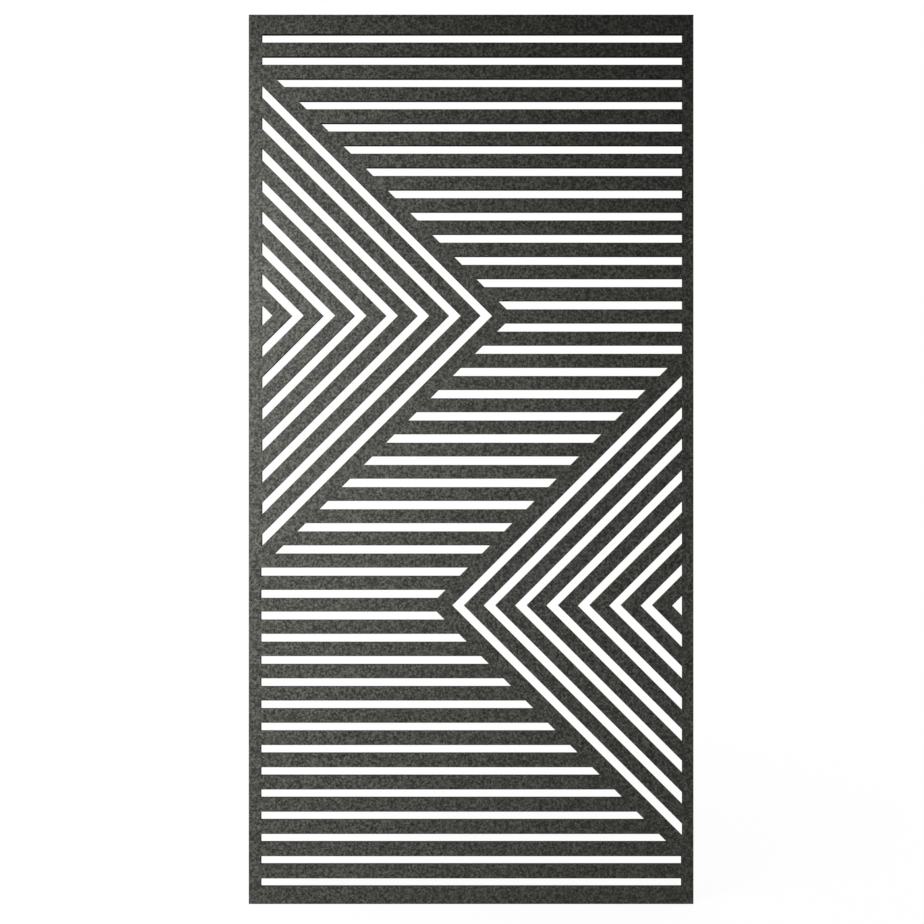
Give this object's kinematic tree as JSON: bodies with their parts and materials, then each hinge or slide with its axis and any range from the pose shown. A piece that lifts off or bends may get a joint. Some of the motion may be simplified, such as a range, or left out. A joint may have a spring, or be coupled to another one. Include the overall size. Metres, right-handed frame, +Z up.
{
  "type": "laser cut metal screen",
  "caption": "Tall flat laser-cut metal screen: level slots interrupted by two opposed chevrons, held from behind by a hidden mitred angle frame with edge fixing holes.",
  "frame": {"origin": "middle of the footprint: centre of the width and depth, at the level of the bottom edge", "axes": "+Z up along the height, +X to the right seen from the front, the face looks along -Y"},
  "size_m": [0.9, 0.029, 1.8],
  "materials": {
    "textured_charcoal": "fine-textured charcoal powder coat on aluminium plate",
    "frame_charcoal": "satin charcoal powder coat on aluminium angle",
    "rubber_tape": "matt black EPDM rubber tape",
    "mill_aluminium": "mill finish, sawn ends",
    "stud_aluminium": "bright threaded weld stud",
    "stainless_steel": "bright stainless steel"
  },
  "bodies": {
    "root": {"cut_plate": "textured_charcoal", "left_stile": "frame_charcoal", "right_stile": "frame_charcoal", "top_rail": "frame_charcoal", "bottom_rail": "frame_charcoal", "left_tape": "rubber_tape", "right_tape": "rubber_tape", "top_tape": "rubber_tape", "bottom_tape": "rubber_tape", "top_left_cleat": "mill_aluminium", "top_right_cleat": "mill_aluminium", "bottom_left_cleat": "mill_aluminium", "bottom_right_cleat": "mill_aluminium", "corner_screws": "stainless_steel", "weld_studs": "stud_aluminium", "stud_washers": "stainless_steel", "stud_nuts": "stainless_steel"}
  },
  "joints": []
}
